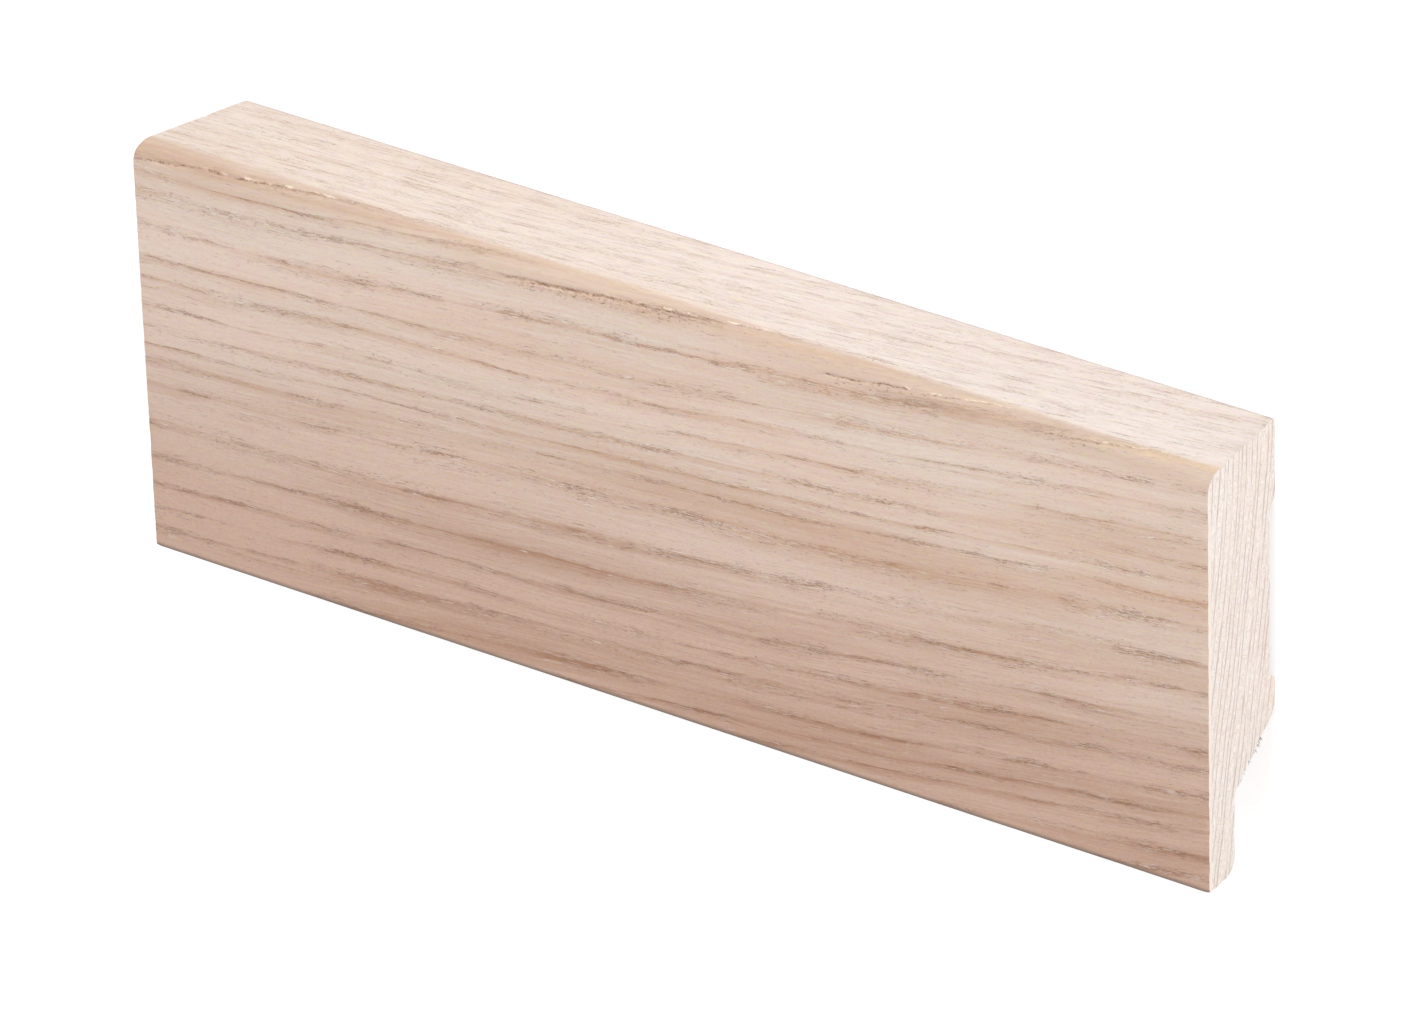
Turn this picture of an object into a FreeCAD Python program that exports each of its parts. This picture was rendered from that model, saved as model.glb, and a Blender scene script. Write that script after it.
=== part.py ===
"""A short length of solid hardwood skirting board, moulded from one piece of wood.

The board lies on its back. Its show face looks up, and the edge that meets the floor on a wall looks along -Y.
+X runs along the length, +Y towards the top edge, +Z out of the show face.
The origin is at the centre of the footprint, on the plane that the two back lands stand on.
The section has a flat show face with a rounded top arris, a shallow hollow between two lands on the back,
and a channel behind a thin foot, whose roof slopes up to the lower land.
The end at +X is sawn square, and the end at -X is sawn to a mitre that leaves the show face longer than the back.
All sizes are in millimetres.
"""

import math
import os

import FreeCAD
import Part

# Overall sizes of the board
LENGTH = 155.0  # along the show face, from the tip of the mitre to the square end
HEIGHT = 60.0  # from the foot to the top edge
THICKNESS = 16.0  # from the show face to the lands

# The left end
MITRE_ANGLE = 22.5  # degrees from square

# The edges
TOP_ROUND = 2.5  # radius where the show face meets the top
EASED_EDGE = 0.4  # radius of the other outer edges

# The hollow back, measured along the height from the top edge and from the floor
UPPER_LAND = 11.0  # height of the land at the top
HOLLOW_DEPTH = 1.3
UPPER_RAMP = 2.4  # height over which the upper land runs into the hollow
LOWER_RAMP = 1.2  # height over which the hollow runs out to the lower land
RAMP_ROUND = 1.0  # radius at both ends of each ramp
LOWER_LAND_TOP = 22.6  # height of the lower land's upper end above the floor

# The channel behind the foot
FOOT_THICKNESS = 6.2
CHANNEL_HEIGHT = 11.4  # where the channel's roof meets the foot
ROOF_ANGLE = 33.0  # degrees, from the foot up to the lower land
ROOF_ROUND = 4.0  # radius where the roof meets the lower land
ROOT_ROUND = 2.0  # radius where the roof meets the foot
HEEL_ROUND = 2.0  # radius at the back of the foot's underside

SAW_OVERRUN = 5.0  # stock left beyond each end before it is sawn


def section_corners():
    """The corners of the section as (height, depth behind the show face, radius), in order round it."""
    roof_rise = (THICKNESS - FOOT_THICKNESS) * math.tan(math.radians(ROOF_ANGLE))
    hollow = THICKNESS - HOLLOW_DEPTH
    upper_land_end = HEIGHT - UPPER_LAND
    return [
        (0.0, 0.0, EASED_EDGE),
        (HEIGHT, 0.0, TOP_ROUND),
        (HEIGHT, THICKNESS, EASED_EDGE),
        (upper_land_end, THICKNESS, RAMP_ROUND),
        (upper_land_end - UPPER_RAMP, hollow, RAMP_ROUND),
        (LOWER_LAND_TOP + LOWER_RAMP, hollow, RAMP_ROUND),
        (LOWER_LAND_TOP, THICKNESS, RAMP_ROUND),
        (CHANNEL_HEIGHT + roof_rise, THICKNESS, ROOF_ROUND),
        (CHANNEL_HEIGHT, FOOT_THICKNESS, ROOT_ROUND),
        (0.0, FOOT_THICKNESS, HEEL_ROUND),
    ]


def placed(height, depth):
    """A point of the section, on the plane X = 0, with the board on its back."""
    return FreeCAD.Vector(0, height - HEIGHT / 2, THICKNESS - depth)


def rounded_outline(corners):
    """A closed wire through the corners, each rounded by a tangent arc of its own radius."""
    points = [placed(height, depth) for height, depth, _ in corners]
    arcs = []
    for i, (_, _, radius) in enumerate(corners):
        corner = points[i]
        back = (points[i - 1] - corner).normalize()
        ahead = (points[(i + 1) % len(points)] - corner).normalize()
        half_angle = back.getAngle(ahead) / 2
        start = corner + back * (radius / math.tan(half_angle))
        end = corner + ahead * (radius / math.tan(half_angle))
        bisector = (back + ahead).normalize()
        middle = corner + bisector * (radius / math.sin(half_angle) - radius)
        arcs.append((start, middle, end))
    edges = []
    for i, (start, middle, end) in enumerate(arcs):
        edges.append(Part.LineSegment(arcs[i - 1][2], start).toShape())
        edges.append(Part.Arc(start, middle, end).toShape())
    return Part.Wire(edges)


def moulded_stock():
    """The section run along the length, a little longer than the finished board at both ends."""
    face = Part.Face(rounded_outline(section_corners()))
    stock = face.extrude(FreeCAD.Vector(LENGTH + 2 * SAW_OVERRUN, 0, 0))
    stock.translate(FreeCAD.Vector(-LENGTH / 2 - SAW_OVERRUN, 0, 0))
    return stock


def sawn_length():
    """What the two saw cuts keep: the board's outline from above its top edge, run across the height."""
    set_back = THICKNESS * math.tan(math.radians(MITRE_ANGLE))
    left, right = -LENGTH / 2, LENGTH / 2
    y = -HEIGHT
    outline = Part.makePolygon([
        FreeCAD.Vector(left, y, THICKNESS),
        FreeCAD.Vector(right, y, THICKNESS),
        FreeCAD.Vector(right, y, 0),
        FreeCAD.Vector(left + set_back, y, 0),
        FreeCAD.Vector(left, y, THICKNESS),
    ])
    return Part.Face(outline).extrude(FreeCAD.Vector(0, 2 * HEIGHT, 0))


def skirting_board():
    """The finished board as one solid."""
    board = moulded_stock().common(sawn_length())
    return board.Solids[0]


os.makedirs("parts", exist_ok=True)
skirting_board().exportStep("parts/skirting_board.step")
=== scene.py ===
"""Looks of a short length of hardwood skirting board, lying on its back with its show face up.

Shapes are worked out in millimetres and put into the meshes in metres, in the frame of the solid:
x along the board, y from the foot (-30) to the top edge (+30), z from the back (0) to the show face (16).
"""

import math
from types import SimpleNamespace

import bpy
import numpy as np
from mathutils import Matrix, Vector


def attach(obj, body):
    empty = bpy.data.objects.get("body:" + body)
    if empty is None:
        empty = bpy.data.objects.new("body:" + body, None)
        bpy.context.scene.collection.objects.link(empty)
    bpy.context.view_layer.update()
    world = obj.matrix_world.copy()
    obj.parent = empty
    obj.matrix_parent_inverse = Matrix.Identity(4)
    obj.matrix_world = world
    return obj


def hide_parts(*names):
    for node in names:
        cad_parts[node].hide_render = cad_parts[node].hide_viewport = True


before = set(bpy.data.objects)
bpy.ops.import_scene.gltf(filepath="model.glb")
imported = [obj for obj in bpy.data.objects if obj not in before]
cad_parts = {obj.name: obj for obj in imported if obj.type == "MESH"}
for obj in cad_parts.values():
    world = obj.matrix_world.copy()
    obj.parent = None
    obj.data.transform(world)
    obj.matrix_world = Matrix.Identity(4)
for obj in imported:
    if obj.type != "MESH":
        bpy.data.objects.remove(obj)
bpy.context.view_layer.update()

MM = 0.001

# The board, as the solid has it
LENGTH, HEIGHT, THICKNESS = 155.0, 60.0, 16.0
MITRE = math.radians(22.5)
TOP_ROUND, EASED_EDGE = 2.5, 0.4
UPPER_LAND, UPPER_RAMP = 11.0, 2.4
LOWER_LAND_TOP, LOWER_RAMP = 22.6, 1.2
HOLLOW_DEPTH, RAMP_ROUND = 1.3, 1.0
FOOT_THICKNESS, CHANNEL_HEIGHT, ROOF_ANGLE = 6.2, 11.4, math.radians(33.0)
ROOF_ROUND, ROOT_ROUND, HEEL_ROUND = 4.0, 2.0, 2.0

# The fibres climb the show face along the board: by the first for each millimetre, and by the second for each
# square millimetre, from the board's middle
CLIMB, STEEPENING = 0.0925, 0.00025

# How finely the outline is cut: points on a corner's arc, the longest piece of a run, and how far from the
# top round the fine cut reaches
ARC_POINTS, TOP_ARC_POINTS = 7, 25
RUN_CUT, TOP_RUN_CUT, TOP_REACH = 0.8, 0.18, 5.0

# Extra stations close to both ends, as shares of the length, for the saw chips
END_STATIONS = [0.0008, 0.0018, 0.9982, 0.9992]

# Depths in millimetres of the planing waves, the ridges along the fibres, and the chips at the two ends
WAVE, RIDGE = 0.03, 0.012
RIGHT_CHIP, LEFT_CHIP = 0.14, 0.12

# The ragged stretch of the square end, by its distance round the section: its middle and half its width
RAGGED_AT, RAGGED_REACH = 121.0, 6.0

# Torn fibres at the channel: how far they are rooted in its roof, and their radius there
ROOTED, FIBRE_RADIUS = 0.6, 0.10

# Where fibres were torn out along the top round: start and end along the board, the line's distance up the
# show face and over the round at both, the width, the depth and how strongly it shows
TORN_LINES = [
    (-79.0, -42.0, 57.8, 61.2, 0.28, 0.16, 1.0),
    (-48.0, -24.0, 61.1, 61.9, 0.20, 0.07, 0.45),
    (-24.0, 25.0, 57.4, 61.9, 0.30, 0.18, 1.0),
    (26.0, 36.0, 62.0, 62.6, 0.18, 0.06, 0.8),
    (22.0, 51.0, 57.4, 61.0, 0.24, 0.14, 0.9),
    (52.0, 74.0, 58.6, 61.7, 0.22, 0.12, 0.80),
]

# Stripes of tan wood along the top round, partly where the fibres are cut across and partly painted shade of
# the round, the golden ones partly painted light on its upper half: start and end along the board, the
# middle's distance up the show face and over the round at both, half the width, the strength, and how golden
TAN_STRIPES = [
    (-99.0, -50.0, 59.1, 60.0, 1.10, 0.90, 0.10),
    (-66.0, -12.0, 58.6, 61.5, 0.50, 0.75, 0.00),
    (-34.0, 20.0, 60.2, 62.8, 0.90, 0.50, 1.00),
    (4.0, 42.0, 59.4, 61.3, 0.60, 0.80, 0.25),
    (28.0, 61.0, 57.4, 60.4, 0.65, 0.84, 0.00),
    (34.0, 60.0, 59.6, 62.2, 0.50, 0.50, 1.00),
    (54.0, 99.0, 59.3, 63.2, 0.85, 0.85, 0.90),
]

# The upper edges of the growth rings at the middle of the board, in millimetres up the show face from the
# foot and on over the round and the top, and the place of the thin line in a ring, as a share of it
RING_EDGES = [
    -9.5, -6.5, -3.5, 0.0, 2.2, 4.8, 9.0, 11.6, 15.4, 20.0, 24.7, 30.5, 34.2, 36.4,
    39.0, 42.2, 46.2, 49.3, 54.1, 59.2, 61.9, 64.3, 66.9, 69.2, 71.8, 74.6, 77.4, 80.5,
]
LINE_AT = 0.76

# Places up the show face and on over the round, where the finish changes: the round's band of painted shade,
# the top's start and its back arris
ROUND_SHADE_FROM, ROUND_SHADE_TO, TOP_FROM, BACK_ARRIS = 57.0, 62.1, 61.3, 74.9


def section_corners():
    """The section's corners as (height, depth behind the show face, radius), going up the show face, over
    the top and down the back."""
    rise = (THICKNESS - FOOT_THICKNESS) * math.tan(ROOF_ANGLE)
    hollow = THICKNESS - HOLLOW_DEPTH
    land_end = HEIGHT - UPPER_LAND
    return [
        (0, 0, EASED_EDGE),
        (HEIGHT, 0, TOP_ROUND),
        (HEIGHT, THICKNESS, EASED_EDGE),
        (land_end, THICKNESS, RAMP_ROUND),
        (land_end - UPPER_RAMP, hollow, RAMP_ROUND),
        (LOWER_LAND_TOP + LOWER_RAMP, hollow, RAMP_ROUND),
        (LOWER_LAND_TOP, THICKNESS, RAMP_ROUND),
        (CHANNEL_HEIGHT + rise, THICKNESS, ROOF_ROUND),
        (CHANNEL_HEIGHT, FOOT_THICKNESS, ROOT_ROUND),
        (0, FOOT_THICKNESS, HEEL_ROUND),
    ]


def section_outline():
    """The closed outline as (height, depth) points, from the foot's underside round the first corner's arc
    and on. Each corner is the arc tangent to its two runs: the two radii to its ends are blended by the sines
    of the shares of its turn. Runs are cut finely near the top round, where fibres are torn, and coarsely
    elsewhere."""
    corners = section_corners()
    at = np.array([c[:2] for c in corners], float)
    points = []
    for i, (_, _, radius) in enumerate(corners):
        back = at[i - 1] - at[i]
        ahead = at[(i + 1) % len(at)] - at[i]
        back /= np.linalg.norm(back)
        ahead /= np.linalg.norm(ahead)
        half = math.acos(back @ ahead) / 2
        turn = math.pi - 2 * half
        bisector = (back + ahead) / np.linalg.norm(back + ahead)
        centre = at[i] + bisector * radius / math.sin(half)
        first = at[i] + back * radius / math.tan(half) - centre
        last = at[i] + ahead * radius / math.tan(half) - centre
        t = np.linspace(0, 1, TOP_ARC_POINTS if radius == TOP_ROUND else ARC_POINTS)[:, None]
        points.append(centre + (first * np.sin((1 - t) * turn) + last * np.sin(t * turn)) / math.sin(turn))
    loop = np.concatenate(points)
    outline = []
    for a, b in zip(loop, np.roll(loop, -1, axis=0)):
        height, depth = (a + b) / 2
        near_top = height > HEIGHT - TOP_REACH and depth < TOP_REACH
        cuts = max(1, math.ceil(np.linalg.norm(b - a) / (TOP_RUN_CUT if near_top else RUN_CUT)))
        outline.append(a + (b - a) * (np.arange(cuts) / cuts)[:, None])
    return np.concatenate(outline)


def soft_noise(x, y, seed):
    """Smooth noise from -1 to 1 on a plane: random heights at whole numbers, blended between them by the
    S-curve 3t^2 - 2t^3 in both directions."""
    cells = 256
    heights = np.random.default_rng(seed).uniform(-1, 1, (cells, cells))
    xi, yi = np.floor(x).astype(int), np.floor(y).astype(int)
    u, v = x - xi, y - yi
    u, v = u * u * (3 - 2 * u), v * v * (3 - 2 * v)
    x0, x1, y0, y1 = xi % cells, (xi + 1) % cells, yi % cells, (yi + 1) % cells
    low = heights[x0, y0] * (1 - u) + heights[x1, y0] * u
    high = heights[x0, y1] * (1 - u) + heights[x1, y1] * u
    return low * (1 - v) + high * v


def waver(x, pace, row, seed):
    """The same noise along one row of the plane, at a pace."""
    return soft_noise(x * pace, np.full(x.shape, float(row)), seed)


def torn_places(along, across):
    """Every point's place by the nearest torn line: how far above its wavering middle in line widths, how far
    along it from 0 to 1, how much of it is there, and the line's depth."""
    nearest, above, share, there, deep = (np.full(along.shape, v) for v in (99.0, 9.0, 0.0, 0.0, 0.0))
    for k, (x0, x1, s0, s1, width, depth, shows) in enumerate(TORN_LINES):
        t = (along - x0) / (x1 - x0)
        bend = 0.26 * waver(along, 0.13, k, 44 + k) + 0.12 * waver(along, 0.5, k, 40 + k)
        height = across - (s0 + (s1 - s0) * t + bend)
        within = shows * np.clip(t * 12, 0, 1) * np.clip((1 - t) * 8, 0, 1)
        closer = (np.abs(height) < nearest) & (within > 0)
        nearest = np.where(closer, np.abs(height), nearest)
        above = np.where(closer, np.clip(height / width, -9, 9), above)
        share = np.where(closer, t, share)
        there = np.where(closer, within, there)
        deep = np.where(closer, depth, deep)
    return above, share, there, deep


def torn_depth(along, across):
    """How deep the torn lines are: across each a bell about its middle, broken up by noise drawn out along
    the fibres."""
    above, _, there, deep = torn_places(along, across)
    broken = np.clip(0.55 + 0.9 * soft_noise(along * 0.45, across * 2.5, 50), 0, 1)
    return deep * there * broken * np.exp(-(above**2))


def stripe_tint(along, across):
    """The strength of the tan stripes at each point, and how golden they are there, weighed by strength.
    Across a stripe the strength falls from its middle along an S-curve."""
    strength, golden, total = np.zeros_like(along), np.zeros_like(along), np.full_like(along, 1e-6)
    for k, (x0, x1, s0, s1, half, most, gold) in enumerate(TAN_STRIPES):
        t = (along - x0) / (x1 - x0)
        middle = s0 + (s1 - s0) * t + 0.25 * waver(along, 0.07, k, 70 + k)
        off = np.clip(1.4 - np.abs(across - middle) / half, 0, 1)
        here = most * off * off * (3 - 2 * off) * np.clip(t * 3, 0, 1) * np.clip((1 - t) * 3, 0, 1)
        strength = np.maximum(strength, here)
        golden += here * gold
        total += here
    return strength, golden / total


def face_relief(along, across):
    """Depth in millimetres of the moulded faces below the solid's: long planing waves, fine ridges along the
    fibres, and the torn lines."""
    fibre = across - CLIMB * along - STEEPENING * along**2
    waves = WAVE + WAVE * soft_noise(along * 0.03, across * 0.06, 1)
    ridges = RIDGE + RIDGE * soft_noise(along * 0.12, fibre * 1.3, 2)
    return waves + ridges + torn_depth(along, across)


def chipped_depth(from_left, from_right, across):
    """Small chips that the saw left at the edges of both ends: deepest at the end, gone within a millimetre,
    and only where slow noise round the section is high. At the square end the lower land and the channel's
    roof are chipped three times as deep."""
    chips = np.clip(waver(across, 0.9, 3, 60) - 0.1, 0, 1)
    ragged = np.clip(waver(across, 1.3, 5, 62) + 0.1, 0, 1)
    chips = chips + 3.4 * ragged * np.exp(-(((across - RAGGED_AT) / RAGGED_REACH) ** 4))
    other = np.clip(waver(across, 1.1, 7, 61) - 0.2, 0, 1)
    right = RIGHT_CHIP * chips * np.exp(-((from_right / 0.4) ** 2))
    left = LEFT_CHIP * other * np.exp(-((from_left / 0.3) ** 2))
    return right + left


def closed_mesh(name, points, loops, sizes):
    """A mesh of points in millimetres, the corners of its faces in a row, and each face's number of them."""
    mesh = bpy.data.meshes.new(name)
    mesh.vertices.add(len(points))
    mesh.vertices.foreach_set("co", (points * MM).astype(np.float32).ravel())
    mesh.loops.add(len(loops))
    mesh.loops.foreach_set("vertex_index", loops.astype(np.int32))
    mesh.polygons.add(len(sizes))
    mesh.polygons.foreach_set("loop_start", (np.cumsum(sizes) - sizes).astype(np.int32))
    mesh.polygons.foreach_set("loop_total", sizes.astype(np.int32))
    mesh.update(calc_edges=True)
    return mesh


def carry(mesh, title, *values):
    """Puts three values on every point of a mesh under a name, for its finish."""
    carried = mesh.attributes.new(title, "FLOAT_VECTOR", "POINT")
    carried.data.foreach_set("vector", np.stack(values, axis=-1).astype(np.float32).ravel())


def skin_points(stations):
    """The points of the board's skin, station by station: the outline carried along x from the mitred end's
    plane to the square end's, and pushed in by the relief along its own normals. Gives them, their places
    along the board, the distance round the section, and the section as (y, z)."""
    outline = section_outline()
    y, z = outline[:, 0] - HEIGHT / 2, THICKNESS - outline[:, 1]
    runs = np.linalg.norm(np.roll(outline, -1, axis=0) - outline, axis=1)
    across = EASED_EDGE * (1 - math.pi / 2) + np.concatenate([[0], np.cumsum(runs)])
    tangent = np.stack([np.roll(y, -1) - np.roll(y, 1), np.roll(z, -1) - np.roll(z, 1)])
    tangent /= np.linalg.norm(tangent, axis=0)
    out_y, out_z = -tangent[1], tangent[0]
    t = np.linspace(0, 1, stations - len(END_STATIONS))
    t = np.sort(np.concatenate([t, END_STATIONS]))[:, None]
    left = -LENGTH / 2 + (THICKNESS - z) * math.tan(MITRE)
    x = left + (LENGTH / 2 - left) * t
    round_it = np.broadcast_to(across[:-1], x.shape)
    depth = face_relief(x, round_it) + chipped_depth(x - left, LENGTH / 2 - x, round_it)
    points = np.stack([x, y - out_y * depth, z - out_z * depth], axis=2)
    points[..., 2] = np.maximum(points[..., 2], 0.0)
    return points, x, across, np.stack([y, z], axis=1)


def board_mesh(name, stations=396):
    """The whole board as one closed skin, with a flat cap on each end. Each point also carries its place by
    the torn lines and its tint from the stripes."""
    points, x, across, section = skin_points(stations)
    n = len(section)
    k, i = np.meshgrid(np.arange(stations - 1), np.arange(n), indexing="ij")
    j = (i + 1) % n
    quads = np.stack([k * n + i, (k + 1) * n + i, (k + 1) * n + j, k * n + j], axis=2).reshape(-1, 4)
    caps = np.concatenate([np.arange(n), (stations - 1) * n + np.arange(n)[::-1]])
    sizes = np.concatenate([np.full(len(quads), 4), [n, n]])
    mesh = closed_mesh(name, points.reshape(-1, 3), np.concatenate([quads.ravel(), caps]), sizes)
    is_cap = np.arange(len(sizes)) >= len(quads)
    mesh.polygons.foreach_set("material_index", is_cap.astype(np.int32))

    round_it = np.broadcast_to(across[:-1], x.shape)
    above, share, there, _ = torn_places(x, round_it)
    carry(mesh, "torn", above, share, there)
    strength, golden = stripe_tint(x, round_it)
    carry(mesh, "stripe", strength, golden, np.zeros_like(golden))

    # The map that the grain follows: metres along the board and metres round its section
    along, s0, s1 = points[..., 0], across[i], across[i + 1]
    side = [along[k, i], s0, along[k + 1, i], s0, along[k + 1, j], s1, along[k, j], s1]
    grain = np.concatenate([np.stack(side, axis=2).reshape(-1, 2), section, section[::-1]]) * MM
    mesh.uv_layers.new(name="unrolled").uv.foreach_set("vector", grain.astype(np.float32).ravel())
    mesh.validate()
    mesh.shade_smooth()
    mesh.set_sharp_from_angle(angle=math.radians(50))
    return mesh


def fibre_mesh(name, clusters=((7.8, 22), (12.4, 26), (10.3, 8))):
    """Torn fibres that hang from the channel's roof at the square end. Each is a closed needle: a small
    three-sided foot rooted in the roof, and a tip 0.5 to 1.5 mm out of it, leaning at random but not past the
    end's plane. Clusters are given as a depth behind the show face and a number of needles."""
    rng = np.random.default_rng(5)
    depth = np.concatenate([rng.normal(middle, 0.45, number) for middle, number in clusters])
    number = len(depth)
    height = CHANNEL_HEIGHT + (depth - FOOT_THICKNESS) * math.tan(ROOF_ANGLE)
    out = np.array([0, -math.cos(ROOF_ANGLE), -math.sin(ROOF_ANGLE)])
    x = LENGTH / 2 - rng.uniform(0.12, 0.35, number)
    foot = np.stack([x, height - HEIGHT / 2, THICKNESS - depth], axis=1) - ROOTED * out
    lean = rng.normal(0, 0.55, (number, 3)) * [0.12, 1, 1]
    lean[:, 0] = -np.abs(lean[:, 0])
    aim = out + lean
    aim /= np.linalg.norm(aim, axis=1)[:, None]
    tip = foot + aim * (ROOTED + rng.uniform(0.5, 1.5, number)[:, None])
    side = np.cross(aim, [1.0, 0, 0])
    side /= np.linalg.norm(side, axis=1)[:, None]
    other = np.cross(aim, side)
    turns = np.radians([0, 120, 240])[None, :, None]
    ring = foot[:, None] + FIBRE_RADIUS * (np.cos(turns) * side[:, None] + np.sin(turns) * other[:, None])
    points = np.concatenate([ring, tip[:, None]], axis=1).reshape(-1, 3)
    faces = np.array([[0, 1, 3], [1, 2, 3], [2, 0, 3], [2, 1, 0]])
    corners = (np.arange(number)[:, None, None] * 4 + faces).ravel()
    return closed_mesh(name, points, corners, np.full(number * len(faces), 3))


class Finish:
    """A material's nodes, one short call each."""

    def __init__(self, name):
        self.material = bpy.data.materials.new(name)
        self.material.use_nodes = True
        self.nodes = self.material.node_tree.nodes
        self.nodes.clear()
        self.out = self.add("ShaderNodeOutputMaterial")
        self.shader = self.add("ShaderNodeBsdfPrincipled")
        self.join(self.shader.outputs[0], self.out.inputs["Surface"])

    def add(self, kind, **settings):
        node = self.nodes.new(kind)
        for key, value in settings.items():
            setattr(node, key, value)
        return node

    def join(self, source, socket):
        """Links an output to a socket, or sets the socket to a plain value."""
        if isinstance(source, bpy.types.NodeSocket):
            self.material.node_tree.links.new(source, socket)
        else:
            socket.default_value = source

    def fill(self, node, values):
        """Joins values to a node's first sockets, in their order."""
        for socket, value in zip(node.inputs, values):
            self.join(value, socket)
        return node

    def calc(self, operation, *values, clamp=False):
        return self.fill(self.add("ShaderNodeMath", operation=operation, use_clamp=clamp), values).outputs[0]

    def plus(self, first, *others):
        for other in others:
            first = self.calc("ADD", first, other)
        return first

    def times(self, first, *others):
        for other in others:
            first = self.calc("MULTIPLY", first, other)
        return first

    def less(self, first, other):
        return self.calc("SUBTRACT", first, other)

    def apart(self, first, other):
        """How far two values are from each other."""
        return self.calc("ABSOLUTE", self.less(first, other))

    def most(self, first, other):
        return self.calc("MAXIMUM", first, other)

    def point(self, x=0.0, y=0.0, z=0.0):
        return self.fill(self.add("ShaderNodeCombineXYZ"), (x, y, z)).outputs[0]

    def split(self, vector):
        return self.fill(self.add("ShaderNodeSeparateXYZ"), (vector,)).outputs

    def scaled(self, vector, factors, offset):
        """A vector times one and plus another, by its parts."""
        node = self.add("ShaderNodeVectorMath", operation="MULTIPLY_ADD")
        return self.fill(node, (vector, factors, offset)).outputs[0]

    def carried(self, name):
        """A vector that the mesh carries under a name."""
        return self.add("ShaderNodeAttribute", attribute_name=name).outputs["Vector"]

    def noise(self, plane, long, wide, seed, detail, rough):
        """Noise on a plane, with patches of about long by wide millimetres."""
        node = self.add("ShaderNodeTexNoise", noise_dimensions="2D")
        place = self.scaled(plane, (1 / long, 1 / wide, 0), (seed * 7.31, seed * 3.17, 0))
        self.join(place, node.inputs["Vector"])
        node.inputs["Scale"].default_value = 1.0
        node.inputs["Detail"].default_value = detail
        node.inputs["Roughness"].default_value = rough
        return node

    def streak(self, plane, long, wide, seed, detail=2.0, rough=0.55):
        """The noise as one number, about 0 to 1."""
        return self.noise(plane, long, wide, seed, detail, rough).outputs["Fac"]

    def swing(self, plane, long, wide, seed, size, detail=2.0, rough=0.55):
        """The same about nought, size times as tall."""
        return self.times(self.less(self.streak(plane, long, wide, seed, detail, rough), 0.5), size)

    def step(self, value, low, high, to_low=0.0, to_high=1.0):
        """Eased from one value to another as the input goes from low to high."""
        node = self.add("ShaderNodeMapRange", interpolation_type="SMOOTHSTEP")
        return self.fill(node, (value, low, high, to_low, to_high)).outputs[0]

    def blend(self, share, first, second, kind="MIX"):
        """Two colours mixed, with a share of the second."""
        node = self.add("ShaderNodeMix", data_type="RGBA", blend_type=kind)
        self.join(share, node.inputs[0])
        self.join(first, node.inputs[6])
        self.join(second, node.inputs[7])
        return node.outputs[2]

    def drift(self, wood, plane, long, wide, seed, amount):
        """The colour with its green and blue pulled up and down apart from its red by patchy noise."""
        patches = self.noise(plane, long, wide, seed, 2.0, 0.5).outputs["Color"]
        middle = (1, 1 - amount * 0.5, 1 - amount * 0.65)
        pull = self.scaled(patches, (0, amount, amount * 1.3), middle)
        return self.blend(1.0, wood, pull, "MULTIPLY")

    def relief(self, height, metres):
        """Fine bumps, as deep as given where the height is one."""
        bump = self.add("ShaderNodeBump")
        bump.inputs["Strength"].default_value = 0.8
        bump.inputs["Distance"].default_value = metres
        self.join(height, bump.inputs["Height"])
        self.join(bump.outputs[0], self.shader.inputs["Normal"])


def colour(red, green, blue):
    """A colour given as it shows on a screen, 0 to 255, made linear."""
    c = np.array([red, green, blue]) / 255
    return (*np.where(c < 0.04045, c / 12.92, ((c + 0.055) / 1.055) ** 2.4), 1.0)


# The palest and the deepest wood: at the foot, darker and pinker partly in the wood itself and partly as
# painted shade, high on the show face in two clouds, and along the top
FOOT_PALE_PARTLY_SHADED, FOOT_DEEP_PARTLY_SHADED = colour(227, 191, 171), colour(173, 122, 90)
FACE_PALE = colour(246, 227, 213), colour(247, 223, 208)
FACE_DEEP = colour(219, 180, 152), colour(221, 181, 152)
TOP_PALE = colour(235, 220, 209), colour(238, 226, 219)
TOP_DEEP = colour(222, 201, 184), colour(226, 208, 196)

# The dark dashes and the pale ones, low and high on the show face or on the top
FACE_DASH, TOP_DASH = colour(152, 100, 62), colour(168, 126, 90)
LOW_SPECK, HIGH_SPECK = colour(238, 214, 199), colour(255, 241, 229)

# The top round: the wood greyed by painted shade, from left to right, its stripes, partly painted shade and
# light, the torn lines and their pale lip
ROUND_SHADE_PALE = colour(210, 188, 170), colour(201, 179, 161)
ROUND_SHADE_DEEP = colour(191, 159, 134), colour(191, 160, 139)
# Tan and golden stripes: partly the grain, partly painted shade and light on the round
TAN_STRIPE, GOLDEN_STRIPE_PARTLY_LIT, GOLD_THREAD = colour(201, 170, 150), colour(224, 198, 170), colour(234, 198, 158)
TORN_CORE, TORN_LIP = colour(130, 90, 60), colour(252, 232, 210)

# The back arris of the top, and the painted shade along the foot's front edge
ARRIS_GREY, FOOT_EDGE_SHADE = colour(208, 198, 198), colour(128, 112, 104)

# End grain: the ground in two clouds, cell walls, ring lines, pores, the strip along the show face, which is
# a painted highlight, and the pinker back edge
SAWN = colour(239, 228, 221), colour(237, 224, 215)
CELL_WALL, END_LINE, END_PORE = colour(218, 202, 193), colour(196, 178, 167), colour(251, 244, 240)
FACE_STRIP_HIGHLIGHT, BACK_PINK = colour(246, 232, 220), colour(244, 214, 194)

# The torn fibres' grey: painted shade
FIBRE_SHADE_GREY = colour(150, 146, 138)


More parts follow.
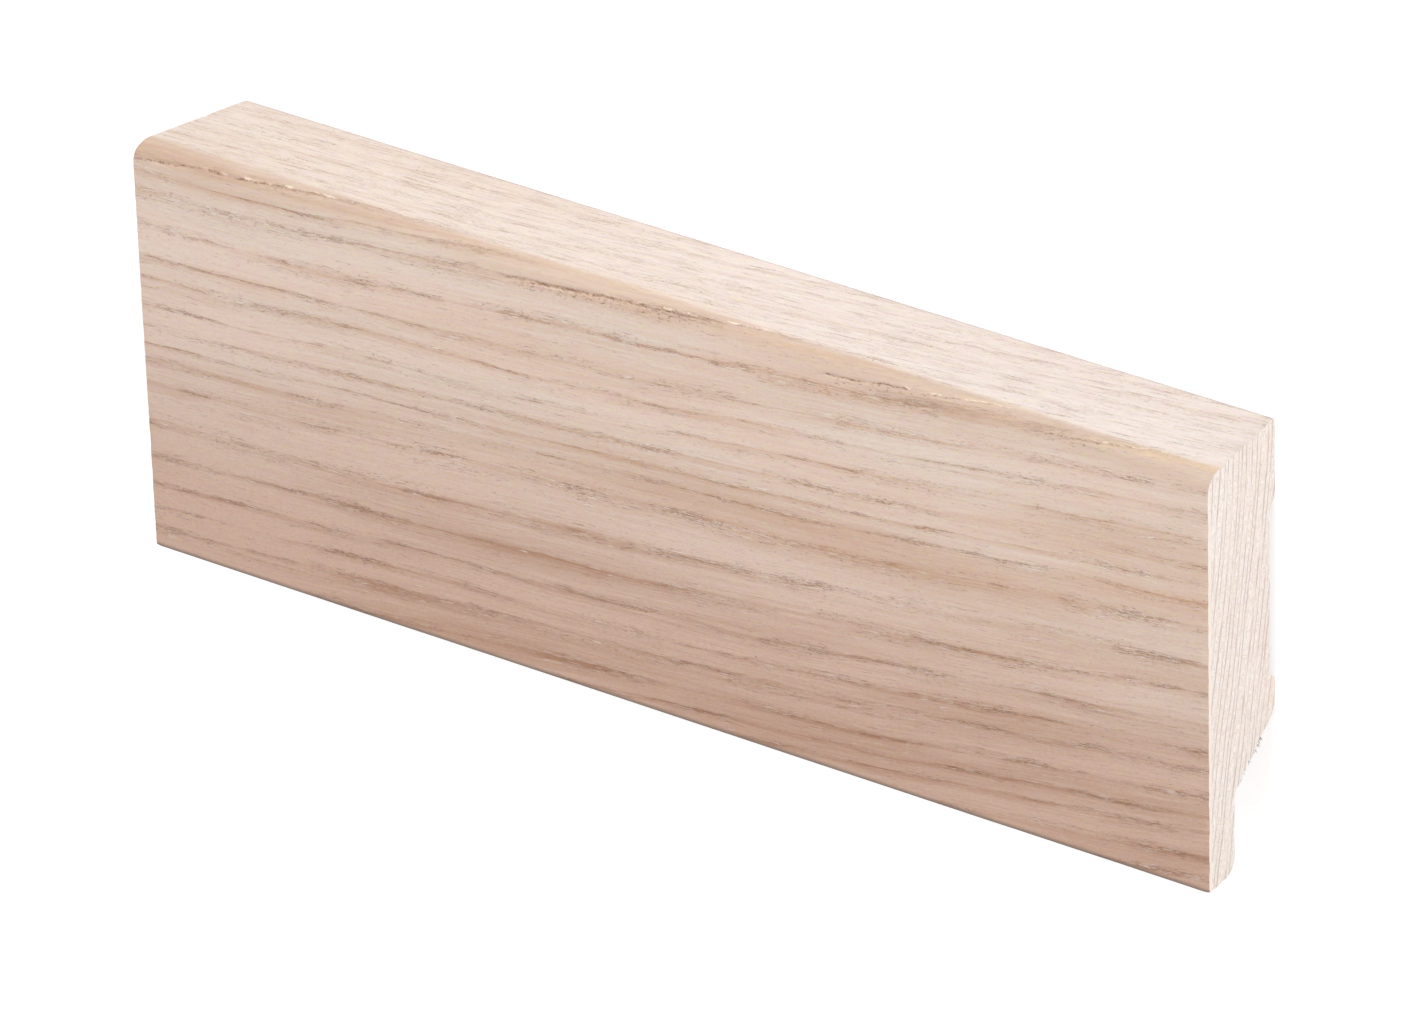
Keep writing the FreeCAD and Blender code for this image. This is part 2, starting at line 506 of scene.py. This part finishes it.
def ring_count(f, across):
    """How many ring edges lie below a place across the fibres, going up evenly from each edge to the next: a
    curve through the edges, straight between them."""
    first, span, last = RING_EDGES[0], RING_EDGES[-1] - RING_EDGES[0], len(RING_EDGES) - 1
    lookup = f.add("ShaderNodeFloatCurve")
    curve = lookup.mapping.curves[0]
    for k in range(1, last):
        curve.points.new((RING_EDGES[k] - first) / span, k / last)
    for point in curve.points:
        point.handle_type = "VECTOR"
    lookup.mapping.update()
    f.join(f.calc("FRACT", f.calc("DIVIDE", f.less(across, first), span)), lookup.inputs["Value"])
    return f.times(lookup.outputs[0], float(last))


def fibre_places(f):
    """A point's place in the wood. x is along the board and s up the show face and on over the round. Across
    the fibres it is s less a climb that steepens along the board, bent a little by slow noise. Phase is the
    place in its growth ring, from 0 to 1, and frayed is the same where planing lifted the fibres in rough
    stretches. Up goes from the foot to high on the show face, and over from there to the top."""
    at = f.split(f.add("ShaderNodeUVMap", uv_map="unrolled").outputs[0])
    x, s = f.times(at[0], 1 / MM), f.times(at[1], 1 / MM)
    w = SimpleNamespace(x=x, s=s, face=f.point(x, s))
    w.up = f.step(s, 2.0, 46.0)
    w.over = f.step(s, TOP_FROM - 1.0, TOP_FROM + 1.0)
    climb = f.plus(f.times(x, CLIMB), f.times(x, x, STEEPENING))
    bend = f.plus(f.swing(w.face, 60, 14, 1, 2.2, 1.0), f.swing(w.face, 15, 3, 2, 0.8))
    across = f.plus(f.less(s, climb), bend)
    w.grain = f.point(x, across)
    rings = f.less(ring_count(f, across), 1 - LINE_AT)
    w.by_ring = f.point(x, f.times(f.calc("FLOOR", rings), 31.0))
    phase = f.calc("FRACT", rings)
    w.rough = f.times(f.step(f.streak(w.grain, 16, 1.8, 11, 1.0), 0.43, 0.58), f.step(phase, 0.2, 0.6))
    fray = f.times(f.swing(w.grain, 1.7, 0.26, 17, 0.34, 1.0), f.plus(f.times(w.rough, 0.8), 0.25))
    w.frayed = f.plus(phase, fray)
    return w


def ring_lines(f, w):
    """The thin brown line in each ring, which comes and goes along it, and the soft zone on both its sides.
    Both are steps of the distance from the line, and thinner and weaker on the top."""
    off = f.times(f.apart(w.frayed, LINE_AT), f.plus(f.times(w.over, 0.8), 1.0))
    run = f.less(f.streak(w.by_ring, 13, 13, 7, 3.0, 0.6), f.times(w.over, 0.07))
    run = f.step(run, 0.45, 0.64)
    core = f.times(f.step(off, 0.044, 0.012), f.plus(f.times(run, 0.72), 0.17))
    core = f.times(core, f.less(1.0, f.times(w.over, 0.35)))
    near = f.times(f.step(off, 0.16, 0.02), f.times(run, 0.11))
    near = f.times(near, f.less(1.0, f.times(w.over, 0.5)))
    return core, near


def dashes(f, w, core, near):
    """Dark and pale dashes along the fibres: drawn-out noise past a threshold, more of it near the lines and
    in rough stretches. The top has long thin dark ones. Lines and dark dashes are broken into dots."""
    boost = f.plus(near, f.times(w.rough, 0.075))
    long_dash = f.plus(f.streak(w.grain, 3.4, 0.14, 13, 3.0, 0.65), boost)
    short_dash = f.plus(f.streak(w.grain, 0.8, 0.13, 14, 2.0, 0.6), boost)
    top_dash = f.plus(f.streak(w.grain, 8.0, 0.13, 15, 1.5, 0.5), near)
    dark = f.most(f.step(long_dash, 0.67, 0.80), f.step(short_dash, 0.70, 0.83))
    dark = f.most(dark, f.times(f.step(top_dash, 0.64, 0.71), w.over))
    dots = f.step(f.streak(w.grain, 0.6, 0.18, 47, 2.0, 0.7), 0.42, 0.60, 0.50, 1.25)
    dark = f.times(f.most(f.times(dark, 0.9), core), dots)
    speck = f.plus(f.streak(w.grain, 3.2, 0.16, 19, 2.0), f.times(boost, 1.1))
    speck = f.times(f.step(speck, 0.67, 0.78), f.less(1.0, f.times(dark, 0.7)))
    return dark, speck


def slow_tones(f, w):
    """How much deeper the tone is just below the top round, and how much on the show face: deeper across the
    middle and in the upper right corner, and paler at the left end."""
    below_round = f.times(f.step(w.s, 51.5, 55.5, 0.0, 0.11), f.step(w.s, 61.5, 59.5))
    middle = f.times(f.step(w.s, 27.0, 33.0), f.step(w.s, 42.0, 36.0), f.step(w.x, -50.0, 5.0, 0.0, 0.17))
    corner = f.times(f.step(w.x, 42.0, 66.0), f.step(w.s, 36.0, 43.0, 0.0, 0.30))
    left = f.step(w.x, -38.0, -74.0, 0.0, 0.22)
    on_face = f.times(f.less(f.plus(middle, corner), left), f.step(w.s, 52.0, 46.0))
    return below_round, on_face


def tone(f, w, near):
    """From 0 for the palest wood to 1 for the deepest: a soft tan band below each ring's line, broad and slow
    tones, and fine streaks that are stronger in the band."""
    strong = f.step(f.streak(w.by_ring, 36, 11, 5, 1.0), 0.36, 0.66, 0.04, 0.32)
    band = f.times(f.step(w.frayed, 0.34, LINE_AT), f.step(w.frayed, LINE_AT + 0.14, LINE_AT), strong)
    fine = f.plus(f.swing(w.grain, 30, 0.9, 6, 0.8, 1.0), f.swing(w.grain, 12, 0.22, 9, 1.6, 2.0, 0.6))
    fine = f.times(fine, f.plus(f.times(band, 0.7), 0.38))
    broad = f.plus(f.swing(w.grain, 80, 7.5, 23, 0.75, 1.0), f.plus(f.times(w.rough, 0.08), 0.18))
    broad = f.plus(broad, *slow_tones(f, w))
    depth = f.calc("ADD", f.plus(band, broad), fine, clamp=True)
    return f.calc("ADD", depth, f.times(near, 1.6), clamp=True)


def palest_and_deepest(f, w):
    """The two woods that the tone goes between, from the foot up the show face, and along the top. Towards
    the foot they are darker and pinker, partly the wood's own colour and partly painted shade.
    """
    clouds = f.step(f.streak(w.grain, 50, 8, 29), 0.36, 0.64)
    along_top = f.step(w.x, -70.0, 60.0)
    woods = []
    for foot, face, top in ((FOOT_PALE_PARTLY_SHADED, FACE_PALE, TOP_PALE), (FOOT_DEEP_PARTLY_SHADED, FACE_DEEP, TOP_DEEP)):
        # Darker towards the foot: partly the wood, partly painted shade
        front = f.blend(w.up, foot, f.blend(clouds, *face))
        woods.append(f.blend(w.over, front, f.blend(along_top, *top)))
    return woods


def shade_and_tint_top_round(f, w, wood, depth):
    """The wood made greyer along the top round, more so to the right, as painted shade, with the stripes of
    tan, frayed along the grain, and golden threads in them. The stripes are partly the grain and partly
    painted shade and light."""
    # Painted shade: greyer wood across the top round, more so to the right
    round_shade = f.times(f.step(w.s, ROUND_SHADE_FROM, ROUND_SHADE_FROM + 2.2), f.step(w.s, ROUND_SHADE_TO, ROUND_SHADE_TO - 1.2), 0.75)
    to_right = f.step(w.x, -45.0, 60.0)
    wood = f.blend(round_shade, wood, f.blend(depth, f.blend(to_right, *ROUND_SHADE_PALE), f.blend(to_right, *ROUND_SHADE_DEEP)))
    # The tan stripes, partly grain and partly painted shade; golden ones partly painted light
    strength, golden, _ = f.split(f.carried("stripe"))
    ragged = f.step(f.plus(strength, f.swing(w.grain, 4, 0.22, 42, 1.8, 3.0, 0.6)), 0.10, 0.75)
    wood = f.blend(f.times(strength, ragged), wood, f.blend(golden, TAN_STRIPE, GOLDEN_STRIPE_PARTLY_LIT))
    thread = f.times(f.step(f.streak(w.grain, 5.0, 0.24, 45, 2.0, 0.6), 0.54, 0.68), strength, 0.38)
    return f.blend(thread, wood, GOLD_THREAD)


def torn_marks(f, w):
    """The torn lines, from the places that the mesh carries: a dark core that is broken up and weakens along
    the line, crumbs below its first part, and a thin pale lip above its far half."""
    above, share, there = f.split(f.carried("torn"))
    above = f.plus(above, f.swing(w.face, 1.4, 2.5, 37, 2.2, 4.0, 0.75))
    early = f.times(there, f.step(share, 1.0, 0.35, 0.25, 1.0))
    late = f.times(there, f.step(share, 0.20, 0.50))
    core = f.times(f.step(f.apart(above, 0.0), 0.95, 0.1), early)
    core = f.times(core, f.step(f.streak(w.face, 2.4, 1.2, 38, 4.0, 0.8), 0.42, 0.54, 0.05, 1.0))
    nearby = f.step(f.apart(above, -2.2), 4.2, 1.2, 0.0, 0.25)
    nearby = f.times(nearby, early, f.step(w.x, -32.0, -20.0))
    crumbs = f.step(f.plus(f.streak(w.face, 0.8, 0.3, 43, 3.0, 0.75), nearby), 0.79, 0.88)
    torn = f.most(core, f.times(crumbs, 0.8))
    torn = f.times(torn, f.step(f.streak(w.face, 0.6, 0.4, 48, 2.0, 0.7), 0.42, 0.58, 0.35, 1.1))
    lip = f.step(f.apart(above, 0.9), 0.8, 0.2)
    lip = f.times(lip, f.step(f.streak(w.face, 2.2, 0.6, 41, 3.0, 0.7), 0.50, 0.60), late)
    return torn, lip


def moulded_wood():
    """Planed ring-porous wood on the faces that run along the board: the tone between the palest and the
    deepest wood, then the dashes, the tints and torn lines of the top round, where painted shade greys it,
    and both long edges, the foot's with painted shade."""
    f = Finish("moulded_wood")
    w = fibre_places(f)
    core, near = ring_lines(f, w)
    dark, speck = dashes(f, w, core, near)
    depth = tone(f, w, near)
    mottle = f.streak(w.face, 0.55, 0.32, 21, 2.0, 0.7)
    pale, deep = palest_and_deepest(f, w)
    wood = f.blend(depth, pale, deep)
    wood = f.blend(f.step(mottle, 0.30, 0.70, 0.0, 0.19), wood, f.blend(0.5, wood, deep, "MULTIPLY"))
    wood = f.blend(f.times(dark, 0.55), wood, f.blend(w.over, FACE_DASH, TOP_DASH))
    wood = f.blend(f.times(speck, 0.68), wood, f.blend(w.up, LOW_SPECK, HIGH_SPECK))
    wood = shade_and_tint_top_round(f, w, wood, depth)
    torn, lip = torn_marks(f, w)
    wood = f.blend(f.times(torn, 0.84), wood, TORN_CORE)
    wood = f.blend(f.times(lip, 0.75), wood, TORN_LIP)
    wood = f.blend(f.step(f.apart(w.s, BACK_ARRIS), 0.8, 0.3, 0.0, 0.5), wood, ARRIS_GREY)
    # Painted shade: a dark thin line along the foot's eased front edge
    wood = f.blend(f.step(w.s, 1.0, 0.3, 0.0, 0.75), wood, FOOT_EDGE_SHADE)
    f.join(f.drift(wood, w.grain, 2.5, 0.45, 51, 0.17), f.shader.inputs["Base Color"])
    f.join(f.step(mottle, 0.2, 0.8, 0.50, 0.64), f.shader.inputs["Roughness"])
    f.relief(f.less(f.times(mottle, 0.5), f.less(dark, f.times(speck, 0.6))), 0.00005)
    return f.material


def end_rings(f, depth, below):
    """Where the rings are on the end. A ring line keeps to a constant depth plus a lean, which grows with the
    square of the distance below the top edge and then slackens. Gives the place across and down the rings,
    the distance from the nearest line, and the line itself, which comes and goes."""
    square = f.times(below, below)
    slack = f.calc("DIVIDE", square, f.plus(f.calc("DIVIDE", square, HEIGHT**2), 1.0))
    lean = f.plus(f.times(below, 0.06), f.times(slack, 0.0040))
    across = f.plus(depth, lean, f.swing(f.point(depth, below), 4, 16, 1, 0.8, 1.0))
    grain = f.point(across, below)
    rings = f.plus(f.calc("DIVIDE", across, 1.15), f.swing(f.point(across, 0.0), 2.6, 1.0, 2, 1.6, 1.0))
    rings = f.plus(rings, f.swing(grain, 0.5, 0.7, 4, 0.10, 1.0))
    off = f.apart(f.calc("FRACT", rings), 0.5)
    by_ring = f.point(f.times(f.calc("FLOOR", rings), 17.0), below)
    strong = f.step(f.streak(by_ring, 7, 9, 3, 3.0, 0.6), 0.34, 0.58, 0.25, 1.0)
    return grain, off, f.times(f.step(off, 0.15, 0.04), strong)


def end_cells(f, grain, off):
    """Columns of pale pores between the ring lines, and the walls round them: steps of the distance from the
    middles of scattered cells, with some cells left out."""
    cell = f.add("ShaderNodeTexVoronoi", voronoi_dimensions="2D")
    f.join(f.scaled(grain, (1 / 0.38, 1 / 0.95, 0), (3.3, 7.7, 0)), cell.inputs["Vector"])
    cell.inputs["Scale"].default_value = 1.0
    from_middle = cell.outputs["Distance"]
    chance = f.split(cell.outputs["Color"])[0]
    pore = f.times(f.step(from_middle, 0.52, 0.18), f.step(chance, 0.3, 0.8))
    pore = f.times(pore, f.step(off, 0.06, 0.22, 0.2, 1.0))
    return pore, f.step(from_middle, 0.45, 0.80)


def sawn_wood():
    """End grain: thin ring lines that lean with the height, columns of pale pores between them, and faint saw
    scratches at a slant. A narrow strip along the show face has no lines and is paler, a painted highlight on
    the arris, and the back edge is pinker."""
    f = Finish("sawn_wood")
    at = f.split(f.add("ShaderNodeTexCoord").outputs["Object"])
    depth = f.less(THICKNESS, f.times(at[2], 1 / MM))
    below = f.less(HEIGHT / 2, f.times(at[1], 1 / MM))
    face = f.point(depth, below)
    grain, off, line = end_rings(f, depth, below)
    pore, wall = end_cells(f, grain, off)
    aslant = f.point(depth, f.plus(below, f.times(depth, -0.5)))
    scratches = f.step(f.streak(aslant, 0.9, 0.26, 5, 1.0), 0.58, 0.70)
    # Painted highlight: a paler strip without lines along the show face's arris
    strip = f.step(f.plus(depth, f.swing(face, 9, 2, 11, 0.4)), 0.8, 0.6)
    mark = f.times(f.most(line, f.times(scratches, 0.35)), f.less(1.0, strip))
    pink = f.times(f.step(depth, 14.0, 16.0), f.step(below, 12.0, 22.0))

    wood = f.blend(f.step(f.streak(face, 5, 14, 13), 0.35, 0.65), *SAWN)
    wood = f.blend(f.times(wall, 0.4), wood, CELL_WALL)
    wood = f.blend(f.times(mark, 0.80), wood, END_LINE)
    wood = f.blend(f.times(pore, 0.7), wood, END_PORE)
    wood = f.blend(f.times(strip, 0.55), wood, FACE_STRIP_HIGHLIGHT)
    wood = f.blend(f.times(pink, 0.35), wood, BACK_PINK)
    f.join(f.drift(wood, face, 0.7, 1.3, 51, 0.07), f.shader.inputs["Base Color"])
    f.shader.inputs["Roughness"].default_value = 0.8
    f.relief(f.less(f.times(pore, 0.7), f.most(mark, f.times(wall, 0.5))), 0.00008)
    return f.material


def shaded_fibre():
    """Loose fibres, coloured grey as painted shade."""
    f = Finish("shaded_fibre")
    f.shader.inputs["Base Color"].default_value = FIBRE_SHADE_GREY
    f.shader.inputs["Roughness"].default_value = 0.8
    return f.material


def board():
    """The board that stands for the solid."""
    piece = bpy.data.objects.new("skirting_board_wood", board_mesh("skirting_board_wood"))
    bpy.context.scene.collection.objects.link(piece)
    piece.data.materials.append(moulded_wood())
    piece.data.materials.append(sawn_wood())
    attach(piece, "root")
    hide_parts("skirting_board")


def torn_fibres():
    """The tufts at the channel's roof."""
    piece = bpy.data.objects.new("torn_fibres", fibre_mesh("torn_fibres"))
    bpy.context.scene.collection.objects.link(piece)
    piece.data.materials.append(shaded_fibre())
    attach(piece, "root")


def pale_floor():
    """A wide white floor. The camera and glossy rays see it lifted to white, and the shadow stays on it."""
    reach, level = 3.0, -0.00005
    corners = [(-reach, -reach, level), (reach, -reach, level), (reach, reach, level), (-reach, reach, level)]
    mesh = bpy.data.meshes.new("floor")
    mesh.from_pydata(corners, [], [(0, 1, 2, 3)])
    floor = bpy.data.objects.new("floor", mesh)
    bpy.context.scene.collection.objects.link(floor)
    f = Finish("floor_white")
    f.shader.inputs["Base Color"].default_value = (0.8, 0.8, 0.8, 1)
    f.shader.inputs["Roughness"].default_value = 1.0
    f.shader.inputs["Specular IOR Level"].default_value = 0.0
    ray = f.add("ShaderNodeLightPath")
    seen = f.most(ray.outputs["Is Camera Ray"], ray.outputs["Is Glossy Ray"])
    seen = f.most(seen, ray.outputs["Is Transmission Ray"])
    glow = f.add("ShaderNodeEmission")
    f.join(f.times(seen, 0.55), glow.inputs["Strength"])
    both = f.fill(f.add("ShaderNodeAddShader"), (f.shader.outputs[0], glow.outputs[0]))
    f.join(both.outputs[0], f.out.inputs["Surface"])
    mesh.materials.append(f.material)


def white_world(level):
    """Even light from all round, seen as white."""
    world = bpy.data.worlds.new("studio")
    bpy.context.scene.world = world
    world.use_nodes = True
    nodes, links = world.node_tree.nodes, world.node_tree.links
    nodes.clear()
    out = nodes.new("ShaderNodeOutputWorld")
    ray = nodes.new("ShaderNodeLightPath")
    seen = ray.outputs["Is Camera Ray"]
    for kind in ("Is Glossy Ray", "Is Transmission Ray"):
        either = nodes.new("ShaderNodeMath")
        either.operation = "MAXIMUM"
        links.new(seen, either.inputs[0])
        links.new(ray.outputs[kind], either.inputs[1])
        seen = either.outputs[0]
    mix = nodes.new("ShaderNodeMixShader")
    links.new(seen, mix.inputs[0])
    for strength, socket in ((level, mix.inputs[1]), (1.0, mix.inputs[2])):
        light = nodes.new("ShaderNodeBackground")
        light.inputs["Strength"].default_value = strength
        links.new(light.outputs[0], socket)
    links.new(mix.outputs[0], out.inputs["Surface"])


def soft_light(name, place, size, watts):
    """A square white lamp that looks at the board."""
    lamp = bpy.data.lights.new(name, "AREA")
    lamp.shape = "SQUARE"
    lamp.size = size
    lamp.energy = watts
    ob = bpy.data.objects.new(name, lamp)
    bpy.context.scene.collection.objects.link(ob)
    ob.location = place
    to_board = Vector((0, 0, 0.008)) - Vector(place)
    ob.rotation_euler = to_board.to_track_quat("-Z", "Y").to_euler()


def camera():
    """The photograph's view. On the wall the board would be seen from 33 degrees to the right of square-on
    and 33 degrees above, so with the board on its back the camera looks down on it from beyond its top
    edge."""
    side, above, roll = map(math.radians, (33.2504, 32.9045, 1.7948))
    distance, aim = 1469.84, np.array([7.1714, 0.0, 33.6603])
    # The focal length and the photograph's width in its pixels, and the sensor's width in millimetres
    focus, picture_width, sensor_width = 12000.0, 1424.0, 36.0
    # Directions on the wall: along the board, out of the wall towards the room, up
    towards = np.array([math.sin(side) * math.cos(above), math.cos(side) * math.cos(above), math.sin(above)])
    place = towards * distance + aim
    # The same on the floor: out of the wall becomes up, and up becomes +y
    look = Vector((-towards[0], -towards[2], -towards[1]))
    spot = Vector((place[0], place[2] - HEIGHT / 2, THICKNESS + place[1])) * MM
    along = look.cross(Vector((0, 1, 0))).normalized()
    upward = along.cross(look)
    c, s = math.cos(roll), math.sin(roll)
    x_axis = along * c - upward * s
    y_axis = along * s + upward * c
    data = bpy.data.cameras.new("camera")
    data.sensor_width = sensor_width
    data.lens = focus * sensor_width / picture_width
    data.clip_start, data.clip_end = 0.01, 20.0
    ob = bpy.data.objects.new("camera", data)
    bpy.context.scene.collection.objects.link(ob)
    ob.matrix_world = Matrix.Translation(spot) @ Matrix((x_axis, y_axis, -look)).transposed().to_4x4()
    bpy.context.scene.camera = ob


board()
torn_fibres()
pale_floor()
white_world(0.70)
soft_light("key", (-0.01, 0.30, 0.146), 0.3, 0.60)
soft_light("side", (0.90, 0.05, 0.166), 0.4, 3.8)
camera()
bpy.context.scene.view_settings.view_transform = "Standard"
